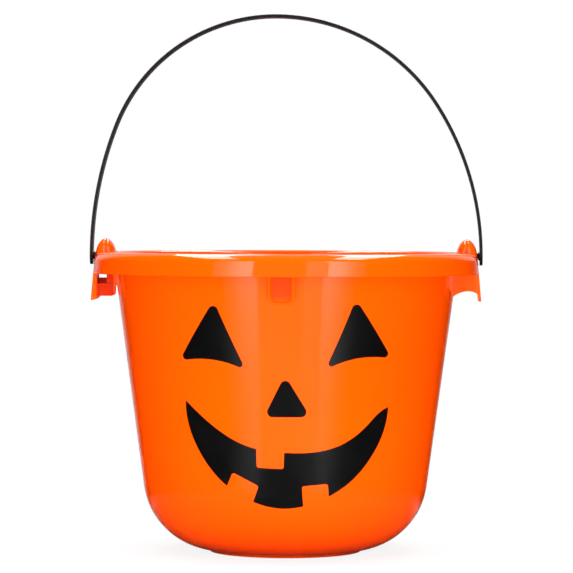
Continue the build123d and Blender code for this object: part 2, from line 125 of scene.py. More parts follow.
class EarSizes(bpy.types.PropertyGroup):
    """The two hollow ears with their tabs and webs."""

    width: length("Width", "Ear from front to back", 0.0144)
    rise: length("Rise", "Top of the dome above the rim", 0.0075)
    sink: length("Sink", "Widest level of the dome below the top of the rim", 0.004)
    setback: length("Setback", "Dome inside the skirt and the inner wall", 0.0001)
    pivot_drop: length("Pivot drop", "Stud hole below the top of the rim", 0.0019)
    hole: length("Stud hole", "Radius of the stud hole", 0.00182)
    tab_drop: length("Tab drop", "Tip of the tab below the top of the rim", 0.0272)
    tab_corner: length("Tab corner", "Round on the tip of the tab", 0.0025)
    tab_root: length("Tab root", "Round where the tab leaves the skirt", 0.002)
    web: length("Web", "Thickness of the plates between wall and tab", 0.0014)
    web_edge: length("Web edge", "Round on the edges of the plates", 0.00022)
    arch_wall_drop: length("Arch at wall", "Right web: lower end at the wall, below the rim", 0.025)
    arch_crown_drop: length("Arch crown", "Right web: top of the arch, below the rim", 0.0214)
    arch_tab_drop: length("Arch at tab", "Right web: lower end at the tab, below the rim", 0.0244)
    arch_crown_share: share("Arch crown place", "Right web: crown between wall and tab", 0.6)
    window_top: length("Window top", "Left web: top of the window, below the rim", 0.0115)
    window_foot: length("Window foot", "Left web: foot of the window, below the rim", 0.0177)
    window_width: length("Window width", "Left web: width of the window", 0.0054)
    window_inset: length("Window inset", "Left web: window from the inside of the skirt", 0.001)
    bead_drop: length("Bead drop", "Left web: foot of the bead, below the rim", 0.019)
    bead_height: length("Bead height", "Left web: height of the bead", 0.0012)
    bead_proud: length("Bead proud", "Left web: bead in front of the plate", 0.0005)
    panel_top: length("Panel top", "Left back web: top of the panel in the window", 0.0147)
    panel_foot: length("Panel foot", "Left web: foot of the set-back panel, below the rim", 0.0248)
    panel_recess: length("Panel recess", "Left web: panel behind the plate", 0.0012)
    panel_corner: length("Panel corner", "Left web: round on the panel's lower corner", 0.002)
    panel_gap: length("Panel gap", "Left web: panel from the wall", 0.0014)
    tab_rib: length("Tab rib", "Left web: depth of the rib beside the tab", 0.0035)
    tab_rib_lift: length("Tab rib lift", "Left web: foot of that rib above the tab's tip", 0.0003)
    tab_rib_tip: length("Tab rib tip", "Left web: round on the foot of that rib", 0.0026)
    nose_half: length("Dome nose", "Half the width of a dome's nose, seen from above", 0.00445)
    nose_radius: length("Dome nose radius", "Radius of a dome's nose, seen from above", 0.007)
    nose_power: level("Dome nose power", "How steep a dome's nose is, 2 for an oval", 3.2)
    flare: length("Dome flare", "Hollow round where a dome runs into the rim", 0.0013)


class LugSizes(bpy.types.PropertyGroup):
    """The U-shaped stacking lugs under the rim, front and back."""

    width: length("Width", "Across the lug", 0.0144)
    drop: length("Drop", "Foot of the lug below the top of the rim", 0.0272)
    rib: length("Rib", "Thickness of the rib", 0.0015)
    corner: length("Corner", "Outside round of the U", 0.005)
    top_depth: length("Depth at top", "Proud of the wall at the top", 0.008)
    foot_depth: length("Depth at foot", "Proud of the wall at the foot", 0.0012)
    edge: length("Edge", "Round on the front edges of the rib", 0.0004)


class HandleSizes(bpy.types.PropertyGroup):
    """The strap handle and its snap studs."""

    lift: length("Lift", "Crown above a half circle on the strap's span", 0.02515)
    tilt: turn("Tilt", "Strap back from upright", 1.8)
    width: length("Width", "Width of the strap", 0.0104)
    thickness: length("Thickness", "Thickness of the strap", 0.0016)
    edge: length("Edge", "Round on the strap's edges", 0.00045)
    lean: length("Crown lean", "Crown to the left of the pail's axis", 0.0062)
    crown_share: share("Crown share", "Radius of the crown, of the reach from crown to end", 0.93)
    end_play: length("End play", "Between a stud's shoulder and the ear", 0.0004)
    shoulder_length: length("Shoulder length", "Length of a stud's shoulder", 0.0008)
    shoulder_radius: length("Shoulder", "Radius of a stud's shoulder at the strap", 0.0026)
    shoulder_tip: length("Shoulder tip", "Radius of a stud's shoulder at the ear", 0.0022)
    neck_radius: length("Neck", "Radius of a stud's neck", 0.00175)
    head_play: length("Head play", "Between a stud's head and the inside of the ear", 0.0009)
    head_radius: length("Head", "Radius of a stud's head", 0.0025)
    head_length: length("Head length", "Length of a stud's head", 0.0024)
    head_land: share("Head land", "Straight part of a stud's head", 0.33)
    head_tip: length("Head tip", "Radius at the end of a stud's head", 0.0013)


class Finishes(bpy.types.PropertyGroup):
    """Colours and gloss of the plastics and the ink."""

    orange: colour("Orange", "Pigment of the pail", (1.0, 0.082, 0.0006))
    orange_deep: colour("Deep orange", "Pigment where it flowed thicker", (0.97, 0.07, 0.0))
    # Painted shade under the skirt: a more red orange in the lugs' pockets and on the right webs
    orange_thin: colour("Thin orange", "Pigment where the moulding is thin", (0.86, 0.038, 0.001))
    # Painted shade: a dark orange on the left webs
    orange_shade: colour("Shaded orange", "Left webs, in the ear's own shade", (0.5, 0.02, 0.001))
    orange_rough: level("Pail roughness", "Roughness of the moulded pail", 0.065)
    orange_ior: level("Pail IOR", "Index of refraction of the pail", 1.46)
    ink: colour("Ink", "Ink of the face", (0.0022, 0.0021, 0.0022))
    ink_thin: colour("Thin ink", "Ink over its pores", (0.006, 0.005, 0.0048))
    ink_rough: level("Ink roughness", "Roughness of the ink", 0.2)
    ink_ior: level("Ink IOR", "Index of refraction of the ink", 1.52)
    strap: colour("Strap", "Pigment of the strap", (0.003, 0.003, 0.0033))
    strap_worn: colour("Worn strap", "Strap where it is rubbed", (0.006, 0.006, 0.0066))
    strap_rough: level("Strap roughness", "Roughness of the strap", 0.36)
    strap_ior: level("Strap IOR", "Index of refraction of the strap", 1.38)


class Studio(bpy.types.PropertyGroup):
    """Camera and light."""

    camera_distance: length("Camera distance", "Camera from the pail's axis", 1.8)
    camera_height: length("Camera height", "Camera above the table", 0.19)
    camera_azimuth: turn("Camera azimuth", "Camera to the right of the front", 1.5)
    camera_pitch: turn("Camera pitch", "Camera looking down", 1.323)
    camera_roll: turn("Camera roll", "Camera turned about its own line of sight", 0.2)
    camera_lens: level("Lens", "Focal length in millimetres", 201.05)
    frame_shift: level("Frame shift", "Share of the frame", 0.00087)
    fill_round: level("Fill all round", "Diffuse light from the sides and from behind", 0.35)
    fill_top: level("Fill from above", "Diffuse light from straight above", 13.0)
    fill_front: level("Fill in front", "Diffuse light from the front", 6.0)
    gloss_back: level("Backdrop in gloss", "Backdrop as gloss shows it", 0.5)
    gloss_front: level("Diffuser in gloss", "Wide front diffuser as gloss shows it", 0.06)
    softbox: level("Softbox", "Brightness of the two tall softboxes", 3.2)
    softbox_foot: level("Softbox foot", "Share of that brightness at the foot of a softbox", 0.1)
    overhead: level("Overhead", "Brightness of the two overhead softboxes", 10.0)


GROUPS = (PailSizes, EarSizes, LugSizes, HandleSizes, Finishes, Studio)


class CandyPailSettings(bpy.types.PropertyGroup):
    """Everything that the operators read."""

    pail: group(PailSizes, "Pail", "Turned part of the moulding")
    ears: group(EarSizes, "Ears", "Ears, tabs and webs")
    lugs: group(LugSizes, "Lugs", "Stacking lugs")
    handle: group(HandleSizes, "Handle", "Strap and studs")
    finishes: group(Finishes, "Finishes", "Plastics and ink")
    studio: group(Studio, "Studio", "Camera and light")


# Lines of the pail that several pieces share

class PailLines:
    """Radii and levels worked out from the settings."""

    def __init__(self, settings):
        self.pail = settings.pail
        self.ears = settings.ears
        self.handle = settings.handle
        pail = self.pail
        self.wall_top = pail.rim_radius - pail.rim_overhang
        self.taper = atan((self.wall_top - pail.foot_of_wall) / pail.height)
        self.skirt_foot = pail.height - pail.skirt_height
        self.pivot = pail.height - self.ears.pivot_drop
        self.tab_foot = pail.height - self.ears.tab_drop
        self.ear_level = pail.height - self.ears.sink
        self.corner_height = pail.foot_height + pail.base_corner
        wall_here = self.wall_radius(self.corner_height)
        self.corner_radius = wall_here - pail.base_corner / cos(self.taper)
        outer = self.skirt_radius(self.ear_level) - self.ears.setback
        inner = self.wall_radius(self.ear_level) - pail.wall + self.ears.setback
        self.ear_middle = (outer + inner) / 2
        self.ear_half_depth = (outer - inner) / 2
        self.ear_dome = self.ears.rise + self.ears.sink
        on_dome = sqrt(1 - ((self.pivot - self.ear_level) / self.ear_dome) ** 2)
        self.ear_face = self.ear_middle + self.ear_half_depth * on_dome
        self.strap_face = self.ear_face + self.handle.end_play + self.handle.shoulder_length
        self.half_span = self.strap_face + self.handle.thickness / 2

    def wall_radius(self, height):
        """Outside of the wall."""
        return self.pail.foot_of_wall + height * tan(self.taper)

    def wall_middle(self, height):
        """Half way through the wall, where what joins it ends."""
        return self.wall_radius(height) - self.pail.wall / 2

    def skirt_radius(self, height):
        """Outside of the skirt and the tabs."""
        return self.pail.rim_radius - (height - self.skirt_foot) * tan(self.pail.skirt_draft)

    def skirt_middle(self, height):
        """Half way through the skirt or a tab."""
        return self.skirt_radius(height) - self.pail.wall / 2


def arc(centre, radius, start, end, steps):
    """Points of an arc in a section, both ends included."""
    angles = [start + (end - start) * step / steps for step in range(steps + 1)]
    return [(centre[0] + radius * cos(angle), centre[1] + radius * sin(angle)) for angle in angles]


def rows(start, end, count):
    """Points that share a straight line out evenly, without its ends."""
    return [
        tuple(a + (b - a) * step / (count + 1) for a, b in zip(start, end))
        for step in range(1, count + 1)
    ]


def eased(corners, steps=4):
    """A line through corners, where a corner given with a radius is rounded by it."""
    line = []
    for index, corner in enumerate(corners):
        here = Vector(corner[:2])
        radius = corner[2] if len(corner) > 2 else 0.0
        if not radius:
            line.append(tuple(here))
            continue
        before = (here - Vector(corners[index - 1][:2])).normalized()
        after = (Vector(corners[(index + 1) % len(corners)][:2]) - here).normalized()
        bend = acos(max(-1.0, min(1.0, before.dot(after))))
        reach = radius * tan(bend / 2)
        centre = here + (after - before).normalized() * radius / cos(bend / 2)
        start = here - before * reach - centre
        sense = 1 if before.x * after.y - before.y * after.x > 0 else -1
        first = atan2(start.y, start.x)
        line += arc(tuple(centre), radius, first, first + sense * bend, steps)
    return line


# Work at the bench: a step acts on the piece that is open for editing

def lay_aside():
    """Leave edit mode and deselect everything."""
    if bpy.context.mode != "OBJECT":
        bpy.ops.object.mode_set(mode="OBJECT")
    bpy.ops.object.select_all(action="DESELECT")


def choose(piece):
    """Select one piece and nothing else."""
    lay_aside()
    piece.select_set(True)
    bpy.context.view_layer.objects.active = piece


def pick_all():
    """Select every point."""
    bpy.ops.mesh.select_all(action="SELECT")


def take_up(piece):
    """Open one piece for editing, with all of it selected."""
    choose(piece)
    bpy.ops.object.mode_set(mode="EDIT")
    bpy.ops.mesh.select_mode(type="VERT")
    pick_all()


def named(name):
    """The piece just added, under its own name and open for editing."""
    piece = bpy.context.object
    piece.name = name
    piece.data.name = name
    take_up(piece)
    return piece


def pick(piece, test):
    """Select the points whose place passes a test."""
    bpy.ops.mesh.select_all(action="DESELECT")
    mesh = bmesh.from_edit_mesh(piece.data)
    for point in mesh.verts:
        if test(point.co):
            point.select_set(True)
    mesh.select_flush(True)
    bmesh.update_edit_mesh(piece.data)


def round_edges(piece, test, radius, steps):
    """Bevel the edges whose two ends pass a test."""
    bpy.ops.mesh.select_mode(type="EDGE")
    bpy.ops.mesh.select_all(action="DESELECT")
    mesh = bmesh.from_edit_mesh(piece.data)
    for edge in mesh.edges:
        if test(edge.verts[0].co, edge.verts[1].co):
            edge.select_set(True)
    bmesh.update_edit_mesh(piece.data)
    bpy.ops.mesh.bevel(offset=radius, segments=steps, affect="EDGES", clamp_overlap=True)
    bpy.ops.mesh.select_mode(type="VERT")


def close_up():
    """Merge the seams and turn the faces outwards."""
    bpy.ops.mesh.select_mode(type="VERT")
    pick_all()
    bpy.ops.mesh.remove_doubles(threshold=SEAM)
    bpy.ops.mesh.normals_make_consistent(inside=False)


def push_out(way):
    """Extrude what is selected."""
    bpy.ops.mesh.extrude_region_move(TRANSFORM_OT_translate={"value": way})


def stretch(scale, centre=AXIS):
    """Stretch what is selected from a point."""
    bpy.ops.transform.resize(value=scale, center_override=centre)


def half_turn():
    """Turn what is selected to the opposite side of the pail's axis."""
    bpy.ops.transform.rotate(value=pi, orient_axis="Z", center_override=AXIS)


def other_side():
    """Copy all to the opposite side of the pail's axis."""
    pick_all()
    bpy.ops.mesh.duplicate()
    half_turn()


def draw_line(name, points):
    """A new piece that is a line of points, drawn on from one point."""
    lay_aside()
    bpy.ops.mesh.primitive_plane_add(size=START)
    piece = named(name)
    bpy.ops.mesh.merge(type="CENTER")
    bpy.ops.transform.translate(value=points[0])
    for here, there in zip(points, points[1:]):
        step = Vector(there) - Vector(here)
        bpy.ops.mesh.extrude_vertices_move(TRANSFORM_OT_translate={"value": step})
    return piece


def block(name, outline, way):
    """A new piece that is a closed outline, filled and extruded."""
    piece = draw_line(name, outline + outline[:1])
    pick_all()
    bpy.ops.mesh.remove_doubles(threshold=SEAM)
    bpy.ops.mesh.edge_face_add()
    push_out(way)
    return piece


def plate(name, outline, middle, thickness, edge):
    """A flat plate from an outline in the X-Z plane, with its edges rounded."""
    near = middle - thickness / 2
    piece = block(name, [(x, near, z) for x, z in outline], (0, thickness, 0))
    close_up()
    round_edges(piece, lambda a, b: abs(a.y - b.y) < SEAM, edge, PLATE_STEPS)
    return piece


def mould_in(piece, tool, operation):
    """Join a piece with a tool piece or cut the tool out of it; the tool is used up."""
    choose(piece)
    bpy.ops.object.modifier_add(type="BOOLEAN")
    step = piece.modifiers[-1]
    step.operation = operation
    step.solver = "EXACT"
    step.object = tool
    bpy.ops.object.modifier_apply(modifier=step.name)
    choose(tool)
    bpy.ops.object.delete()


def clear_slivers(piece):
    """Cut all faces into triangles and take out the slivers that the joins left."""
    take_up(piece)
    bpy.ops.mesh.remove_doubles(threshold=2 * SEAM)
    bpy.ops.mesh.select_all(action="DESELECT")
    bpy.ops.mesh.select_mode(type="FACE")
    bpy.ops.mesh.select_face_by_sides(number=3, type="GREATER")
    bpy.ops.mesh.quads_convert_to_tris(ngon_method="BEAUTY")
    pick_all()
    bpy.ops.mesh.dissolve_degenerate(threshold=SLIVER)
    bpy.ops.mesh.select_mode(type="VERT")


def gather(pieces):
    """Make several pieces one."""
    choose(pieces[0])
    for piece in pieces:
        piece.select_set(True)
    bpy.ops.object.join()
    return bpy.context.object


def finish_piece(piece, material, slot, body, *nodes):
    """Smooth a piece, give it its material and hang it on its body in place of its nodes."""
    choose(piece)
    bpy.ops.object.shade_smooth_by_angle(angle=SMOOTH_UNDER)
    bpy.ops.object.modifier_add(type="WEIGHTED_NORMAL")
    even = piece.modifiers[-1]
    even.keep_sharp = True
    bpy.ops.object.modifier_apply(modifier=even.name)
    piece.data.materials.clear()
    piece.data.materials.append(material)
    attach(piece, body)
    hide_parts(*nodes)
    lay_aside()


# Parts of the moulding

APART = 1e-4            # keeps joined pieces from meeting face on face
EAR_STEP = radians(0.2)
EAR_STEPS = 60          # columns of faces across an ear
WALL_STEPS = 112        # columns of faces from ear to ear
BASE_STEPS = 26         # rows of faces round the base corner
WALL_ROWS = 9
FLOOR_ROWS = 3
RIM_STEPS = 7           # rows of faces round a corner of the rim
DRAWN_DOWN = 1.6        # part of the skirt's edge that a tab takes along, in edge rounds
DOME_STEPS = 24         # columns of faces in a quarter of a dome
HOLE_STEPS = 48
WEB_STEPS = 8           # faces along a round of a web
LUG_STEPS = 10          # faces along a corner of a lug
ON_COLUMN = 1e-4        # of a point's radius
ON_RING = 1e-5          # of a dome's height


def shell_section(lines):
    """Half section of the turned part, from the middle of its underside to that of its floor."""
    pail = lines.pail
    top = pail.height
    roof = top - pail.wall
    foot = lines.skirt_foot
    corner = (lines.corner_radius, lines.corner_height)
    ring_inside = pail.foot_radius - pail.foot_width
    out = pail.foot_radius - corner[0]
    ring_angle = atan2(-sqrt(pail.base_corner ** 2 - out ** 2), out)
    under_base = arc(corner, pail.base_corner, ring_angle, -lines.taper, BASE_STEPS)
    inside_base = arc(corner, pail.base_corner - pail.wall, -lines.taper, -pi / 2, BASE_STEPS)
    inner_top = (lines.wall_radius(top) - pail.wall / cos(lines.taper), top)
    floor = pail.foot_height + pail.wall
    wall_end = (lines.wall_radius(roof), roof)
    small = pail.foot_edge / 2
    return eased([
        (0.0, pail.foot_height + pail.gate_depth),
        (pail.gate_radius, pail.foot_height + pail.gate_depth, small),
        (pail.gate_radius, pail.foot_height, small),
        (ring_inside, pail.foot_height, small),
        (ring_inside, 0.0, pail.foot_edge),
        (pail.foot_radius, 0.0, pail.foot_edge),
        *under_base,
        *rows(under_base[-1], wall_end, WALL_ROWS),
        (*wall_end, pail.channel_corner),
        (lines.skirt_radius(roof) - pail.wall, roof, pail.rim_corner - pail.wall),
        (lines.skirt_radius(foot) - pail.wall, foot, pail.skirt_edge),
        (lines.skirt_radius(foot), foot, pail.skirt_edge),
        (lines.skirt_radius(top), top, pail.rim_corner),
        (*inner_top, pail.rim_inner_edge),
        *rows(inner_top, inside_base[0], WALL_ROWS),
        *inside_base,
        *rows((corner[0], floor), (0.0, floor), FLOOR_ROWS),
        (0.0, floor),
    ], RIM_STEPS)


def tab_reach(lines, side):
    """How far the skirt's lower edge is drawn down, at a distance from the middle of an ear."""
    ears = lines.ears
    half = ears.width / 2
    if side >= half + ears.tab_root:
        return 0.0
    if side > half:
        return ears.tab_root - sqrt(ears.tab_root ** 2 - (half + ears.tab_root - side) ** 2)
    into = max(0.0, side - half + ears.tab_corner)
    lift = ears.tab_corner - sqrt(max(0.0, ears.tab_corner ** 2 - into ** 2))
    return lines.skirt_foot - lines.tab_foot - lift


def turned_shell(lines):
    """Base, wall, rim and skirt in one, spun from a section, with the ear tabs drawn down."""
    start = EAR_STEP * EAR_STEPS / 2
    section = [(r * cos(start), r * sin(start), z) for r, z in shell_section(lines)]
    piece = draw_line("pail_moulding", section)
    pick_all()
    for steps, angle in ((EAR_STEPS, 2 * start), (WALL_STEPS, pi - 2 * start)) * 2:
        bpy.ops.mesh.spin(steps=steps, angle=angle, center=AXIS, axis=(0, 0, 1))
    close_up()
    foot = lines.skirt_foot
    channel = (lines.wall_radius(foot) + lines.skirt_radius(foot)) / 2
    edge = foot + DRAWN_DOWN * lines.pail.skirt_edge
    for column in range(EAR_STEPS // 2 + 1):
        angle = column * EAR_STEP
        reach = tab_reach(lines, lines.pail.rim_radius * sin(angle))
        if not reach:
            continue
        pick(piece, lambda co: (
            co.z < edge and hypot(co.x, co.y) > channel
            and abs(atan2(abs(co.y), abs(co.x)) - angle) < EAR_STEP / 4
        ))
        spread = 1 + reach * tan(lines.pail.skirt_draft) / lines.pail.rim_radius
        bpy.ops.transform.translate(value=(0, 0, -reach))
        stretch((spread, spread, 1))
    return piece


def flare_foot(piece, lines):
    """Spread the inner side of a dome where it runs into the rim."""
    foot = lines.pail.height
    flare = lines.ears.flare
    heights = {round(point.co.z, 7) for point in bmesh.from_edit_mesh(piece.data).verts}
    for height in sorted(heights):
        above = max(0.0, height - foot)
        if height < foot - flare or above >= flare:
            continue
        spread = flare - sqrt(flare ** 2 - (flare - above) ** 2)
        half = lines.ear_half_depth * sqrt(1 - ((height - lines.ear_level) / lines.ear_dome) ** 2)
        pick(piece, lambda co: abs(co.z - height) < SEAM and co.x < lines.ear_middle)
        stretch((1 + spread / half, 1, 1), (lines.ear_middle, 0, height))


def shape_plan(ball, lines):
    """Shape a ball to the ear's plan: a round nose at both ends and flatter flanks."""
    half_depth = lines.ear_half_depth
    half_width = lines.ears.width / 2
    nose = lines.ears.nose_radius
    centre = half_width - nose
    crease = centre + sqrt(nose ** 2 - lines.ears.nose_half ** 2)
    bow = (half_depth - lines.ears.nose_half) / crease ** 2
    for step in range(1, DOME_STEPS):
        angle = pi / 2 * step / DOME_STEPS
        x = half_depth * cos(angle)
        y = half_width * sin(angle)
        on_flank = (sqrt(x ** 2 + 4 * bow * y ** 2 * half_depth) - x) / (2 * bow * y ** 2)
        reach = x ** 2 + y ** 2
        root = sqrt((y * centre) ** 2 - reach * (centre ** 2 - nose ** 2))
        on_nose = (y * centre + root) / reach
        swell = min(on_flank, on_nose)

        def in_column(co):
            radius = hypot(co.x, co.y)
            return abs(abs(co.x) - radius * cos(angle)) < radius * ON_COLUMN

        pick(ball, in_column)
        stretch((swell, swell, 1))
    power = lines.ears.nose_power
    for step in range(1, 2 * DOME_STEPS):
        height = sin(pi / 4 * step / DOME_STEPS)
        steeper = (1 - height ** power) ** (1 / power) / sqrt(1 - height ** 2)
        pick(ball, lambda co: abs(abs(co.z) - height) < ON_RING)
        stretch((1, steeper, 1))


def ear_domes(lines, name, inset, whole):
    """The two domes of the ears, moved in by an inset; the outside ends at its widest level."""
    lay_aside()
    sides = 4 * DOME_STEPS
    bpy.ops.mesh.primitive_uv_sphere_add(segments=sides, ring_count=sides, radius=1.0)
    piece = named(name)
    shape_plan(piece, lines)
    pick_all()
    bpy.ops.transform.resize(value=(
        lines.ear_half_depth - inset, lines.ears.width / 2 - inset - APART, lines.ear_dome - inset,
    ))
    bpy.ops.transform.translate(value=(lines.ear_middle, 0, lines.ear_level))
    if not whole:
        bpy.ops.mesh.bisect(
            plane_co=(0, 0, lines.ear_level), plane_no=(0, 0, 1), use_fill=True, clear_inner=True,
        )
        flare_foot(piece, lines)
    other_side()
    close_up()
    return piece


def stud_holes(lines):
    """The two holes through the outer walls of the ears."""
    circle = arc((0.0, lines.pivot), lines.ears.hole, 0, 2 * pi, HOLE_STEPS)[:-1]
    ring = [(lines.ear_middle, y, z) for y, z in circle]
    piece = block("stud_holes", ring, (2 * lines.ear_half_depth, 0, 0))
    other_side()
    close_up()
    return piece


def web_sides(lines, wall_end, tab_end):
    """The wall, roof and skirt sides of a web."""
    roof = lines.pail.height - lines.pail.wall / 2
    shoulder = roof - lines.pail.rim_corner
    return [
        wall_end,
        (lines.wall_middle(roof), roof),
        (lines.skirt_radius(roof) - lines.pail.rim_corner, roof),
        (lines.skirt_middle(shoulder), shoulder),
        tab_end,
    ]


def both_webs(piece):
    """Copy a plate in front of an ear to the back of the same ear."""
    take_up(piece)
    bpy.ops.mesh.duplicate()
    stretch((1, -1, 1))
    bpy.ops.mesh.flip_normals()
    return piece


def arched_webs(lines):
    """Right ear: plates with an arched lower edge."""
    ears = lines.ears
    top = lines.pail.height
    wall_end = (lines.wall_middle(top - ears.arch_wall_drop), top - ears.arch_wall_drop)
    tab_end = (lines.skirt_middle(top - ears.arch_tab_drop), top - ears.arch_tab_drop)
    span = tab_end[0] - wall_end[0]
    crown = (wall_end[0] + ears.arch_crown_share * span, top - ears.arch_crown_drop)

    def half_arch(end):
        drop = crown[1] - end[1]
        radius = ((end[0] - crown[0]) ** 2 + drop ** 2) / (2 * drop)
        centre = (crown[0], crown[1] - radius)
        start = atan2(end[1] - centre[1], end[0] - centre[0])
        return arc(centre, radius, start, pi / 2, WEB_STEPS)

    tab_half = half_arch(tab_end)
    wall_half = half_arch(wall_end)
    outline = web_sides(lines, wall_end, tab_end) + tab_half[1:] + wall_half[-2:0:-1]
    middle = -(ears.width - ears.web) / 2
    return both_webs(plate("arched_webs", outline, middle, ears.web, ears.web_edge))


def set_back_panel(lines, name, bead, panel_top, middle):
    """Left ear: the panel below a bead, up to a level behind the plate."""
    ears = lines.ears
    foot = lines.pail.height - ears.panel_foot
    side = lines.wall_radius(bead) + ears.panel_gap
    return plate(name, eased([
        (side, foot, ears.panel_corner),
        (lines.skirt_middle(foot), foot),
        (lines.skirt_middle(panel_top), panel_top),
        (side, panel_top),
    ], WEB_STEPS), middle, ears.web, ears.web_edge)


def windowed_webs(lines):
    """Left ear: plates with a window, a bead, a set-back panel and a rib beside the tab."""
    ears = lines.ears
    top = lines.pail.height
    bead = top - ears.bead_drop
    bead_top = bead + ears.bead_height
    wall_end = (lines.wall_middle(bead), bead)
    tab_end = (lines.skirt_middle(bead), bead)
    middle = -(ears.width - ears.web) / 2
    outline = web_sides(lines, wall_end, tab_end)
    sheet = plate("windowed_webs", outline, middle, ears.web, ears.web_edge)

    right = lines.skirt_radius(lines.skirt_foot) - lines.pail.wall - ears.window_inset
    left = right - ears.window_width
    window = plate("window", eased([
        (left, top - ears.window_foot, ears.web_edge),
        (right, top - ears.window_foot, ears.web_edge),
        (right, top - ears.window_top, ears.web_edge),
        (left, top - ears.window_top, ears.web_edge),
    ]), middle, 4 * ears.web, ears.web_edge)
    mould_in(sheet, window, "DIFFERENCE")

    proud = ears.bead_proud
    strip = plate("bead", [
        (lines.wall_middle(bead) - APART, bead),
        (lines.skirt_middle(bead) + APART, bead),
        (lines.skirt_middle(bead_top) + APART, bead_top),
        (lines.wall_middle(bead_top) - APART, bead_top),
    ], middle - proud / 2, ears.web + proud, ears.web_edge)

    rib_foot = lines.tab_foot + ears.tab_rib_lift
    rib = plate("rib", eased([
        (lines.skirt_middle(rib_foot) + 2 * APART, rib_foot),
        (lines.skirt_middle(bead_top) + 2 * APART, bead_top - APART),
        (lines.skirt_middle(bead_top) - ears.tab_rib, bead_top - APART),
        (lines.skirt_middle(rib_foot) - ears.tab_rib, rib_foot, ears.tab_rib_tip),
    ], WEB_STEPS), middle, ears.web, ears.web_edge)

    for part in (strip, rib):
        mould_in(sheet, part, "UNION")
    both_webs(sheet)
    set_back = -middle - ears.panel_recess
    for name, panel_top, place in (
        ("front_panel", bead_top, set_back), ("back_panel", top - ears.panel_top, -set_back),
    ):
        mould_in(sheet, set_back_panel(lines, name, bead, panel_top, place), "UNION")
    take_up(sheet)
    half_turn()
    return sheet


def stacking_lugs(lugs, lines):
    """U-shaped ribs, deep under the rim and fading into the wall."""
    roof = lines.pail.height - lines.pail.wall / 2
    foot = lines.pail.height - lugs.drop
    half = lugs.width / 2
    inside = half - lugs.rib
    outline = eased([
        (-half, roof), (-half, foot, lugs.corner), (half, foot, lugs.corner), (half, roof),
        (inside, roof), (inside, foot + lugs.rib, lugs.corner - lugs.rib),
        (-inside, foot + lugs.rib, lugs.corner - lugs.rib), (-inside, roof),
    ], LUG_STEPS)
    near = -lines.pail.rim_radius
    through_wall = (0, lines.pail.rim_overhang * 3, 0)
    piece = block("stacking_lugs", [(x, near, z) for x, z in outline], through_wall)
    close_up()
    front_foot = Vector((0, -lines.wall_radius(foot) - lugs.foot_depth, foot))
    front_roof = Vector((0, -lines.wall_radius(roof) - lugs.top_depth, roof))
    slope = (front_roof - front_foot).normalized()
    outwards = Vector((0, -slope.z, slope.y))
    back_foot = Vector((0, -lines.wall_middle(foot), foot))
    back_slope = (Vector((0, -lines.wall_middle(roof), roof)) - back_foot).normalized()
    inwards = Vector((0, back_slope.z, -back_slope.y))
    for place, side in ((front_foot, outwards), (back_foot, inwards)):
        pick_all()
        bpy.ops.mesh.bisect(plane_co=place, plane_no=side, use_fill=True, clear_outer=True)
    close_up()

    def on_front(point):
        return abs((point - front_foot).dot(outwards)) < SEAM

    round_edges(piece, lambda a, b: on_front(a) and on_front(b), lugs.edge, EDGE_STEPS)
    other_side()
    close_up()
    return piece


# Parts of the handle

CROWN_STEPS = 40
SIDE_STEPS = 24
END_STEPS = 10
STUD_STEPS = 40


def strap_end(lines, side):
    """Round off one end of the strap below its stud, from the ring that is selected."""
    half = lines.handle.width / 2
    for step in range(1, END_STEPS):
        here = pi / 2 * (step - 1) / END_STEPS
        there = pi / 2 * step / END_STEPS
        push_out((0, 0, -half * (sin(there) - sin(here))))
        stretch((1, cos(there) / cos(here), 1), (side * lines.half_span, 0, 0))
    bpy.ops.mesh.edge_face_add()


def strap_half(piece, lines, crown, side):
    """Spin one half of the strap: a crown arc, a flatter side arc and a round end."""
    handle = lines.handle
    rise = crown[2] - lines.pivot
    reach = lines.half_span - side * crown[0]
    crown_radius = handle.crown_share * reach
    over = rise - crown_radius
    sweep = pi / 2 - 2 * atan((reach - crown_radius) / over)
    side_radius = crown_radius + over / cos(sweep)
    pick(piece, lambda co: abs(co.x - crown[0]) < SEAM)
    for steps, angle, centre in (
        (CROWN_STEPS, sweep, (crown[0], 0, crown[2] - crown_radius)),
        (SIDE_STEPS, pi / 2 - sweep, (side * (lines.half_span - side_radius), 0, lines.pivot)),
    ):
        bpy.ops.mesh.spin(steps=steps, angle=-side * angle, center=centre, axis=(0, 1, 0))
    strap_end(lines, side)


def snap_studs(lines):
    """The two studs: shoulder, neck and head, turned about the line of the ear holes."""
    handle = lines.handle
    shoulder_end = lines.strap_face - handle.shoulder_length
    head_start = lines.ear_face - lines.pail.wall - handle.head_play
    head_end = head_start - handle.head_length
    small = handle.edge / 2
    outline = eased([
        (lines.half_span, 0.0),
        (lines.half_span, handle.shoulder_radius),
        (lines.strap_face, handle.shoulder_radius),
        (shoulder_end, handle.shoulder_tip, small),
        (shoulder_end, handle.neck_radius),
        (head_start, handle.neck_radius),
        (head_start, handle.head_radius, small),
        (head_start - handle.head_land * handle.head_length, handle.head_radius, small),
        (head_end, handle.head_tip, small),
        (head_end, 0.0),
    ], EDGE_STEPS)
    piece = draw_line("snap_studs", [(x, 0, lines.pivot + r) for x, r in outline])
    pick_all()
    bpy.ops.mesh.spin(steps=STUD_STEPS, angle=2 * pi, center=(0, 0, lines.pivot), axis=(1, 0, 0))
    close_up()
    other_side()
    close_up()
    return piece


# Finishes

# Noise on the plastics and the ink, in waves to the metre
DRIFT = 16.0            # slow drift of the pail's pigment
FLECK = 520.0
RIPPLE = 46.0           # unevenness of the moulded skin
PEEL = 1500.0
INK_CLOUD = 60.0
PORES = 1300.0
STRAP_CLOUD = 40.0
GRAIN = 1100.0

